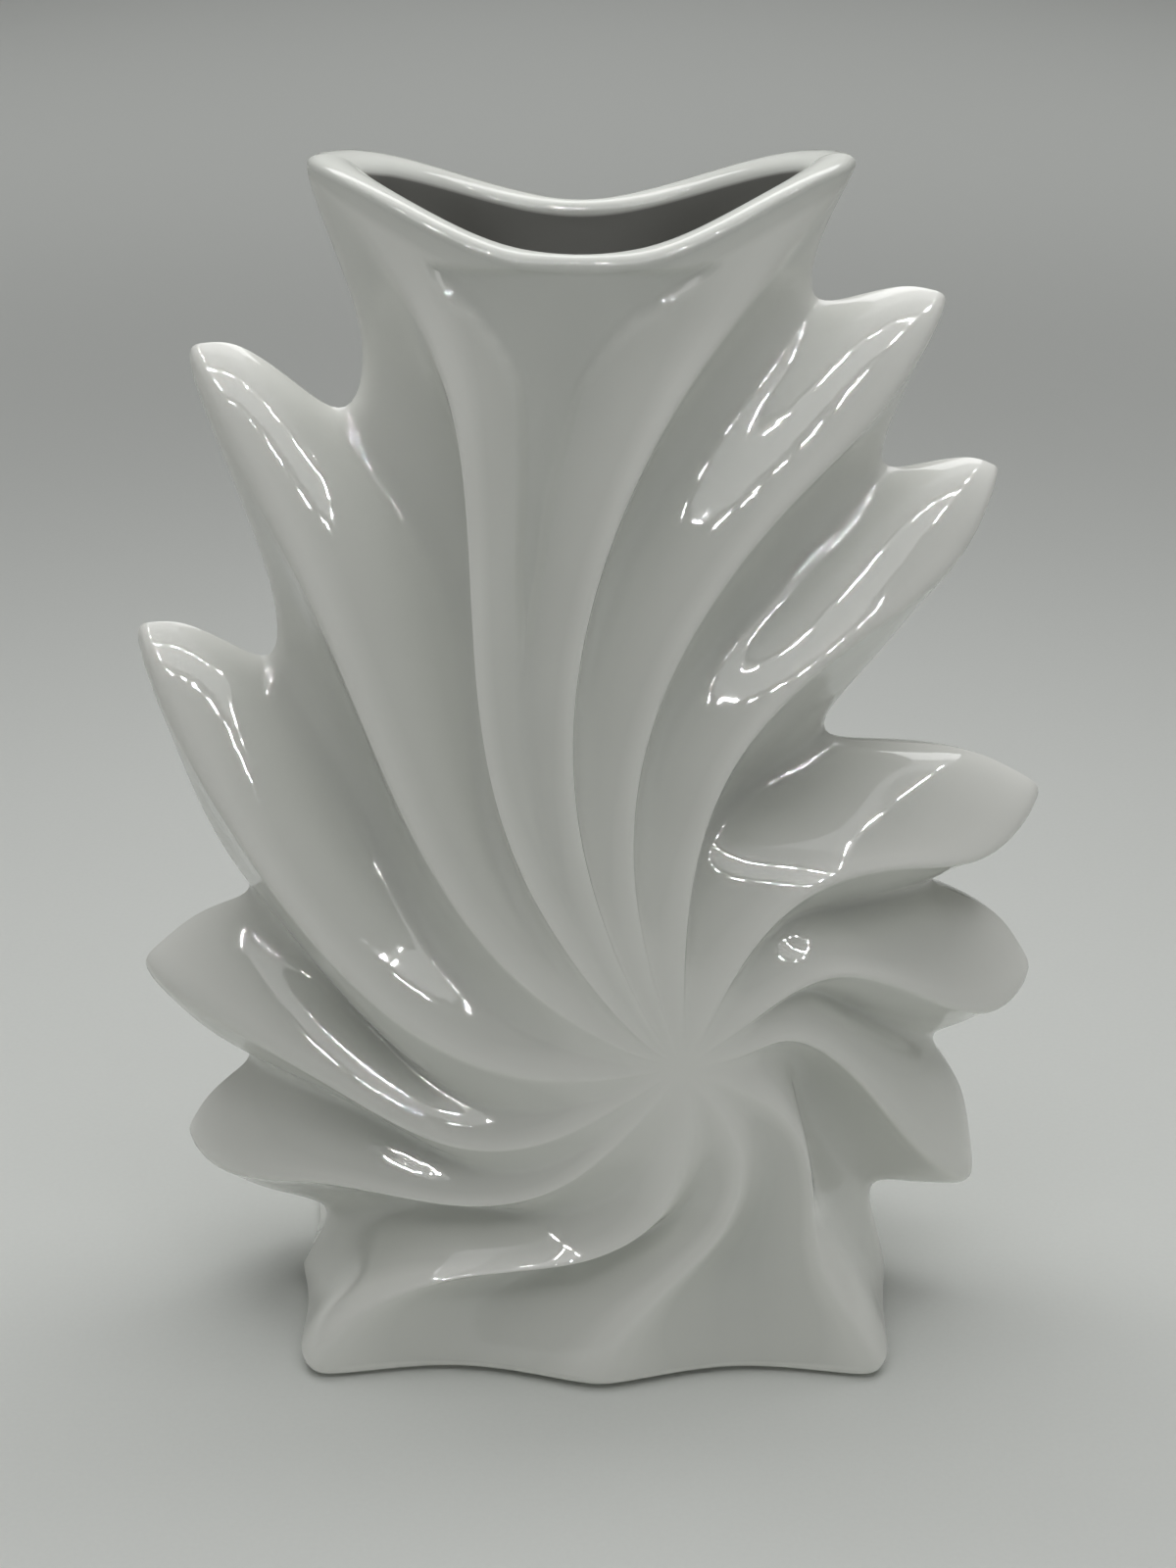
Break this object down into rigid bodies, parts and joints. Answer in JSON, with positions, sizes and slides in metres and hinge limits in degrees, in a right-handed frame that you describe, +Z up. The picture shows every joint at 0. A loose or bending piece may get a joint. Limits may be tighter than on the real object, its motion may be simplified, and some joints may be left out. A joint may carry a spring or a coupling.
{
  "type": "fan vase",
  "caption": "Free-standing fan-shaped porcelain vase: ribs spiral out of one hub into petalled sides, a saddle-shaped mouth and a low block foot; holds cut flowers.",
  "frame": {"origin": "middle of the foot on the table, on the mould seam", "axes": "+X to the right along the wide face, +Y to the back through the thin side, +Z up"},
  "size_m": [0.1879, 0.0892, 0.254],
  "materials": {
    "glaze": "white high-gloss glaze",
    "bare_clay": "dry, ground, unglazed"
  },
  "bodies": {
    "root": {"front_shell": "glaze", "back_shell": "glaze", "base_plate": "glaze", "foot_ring": "bare_clay"}
  },
  "joints": []
}
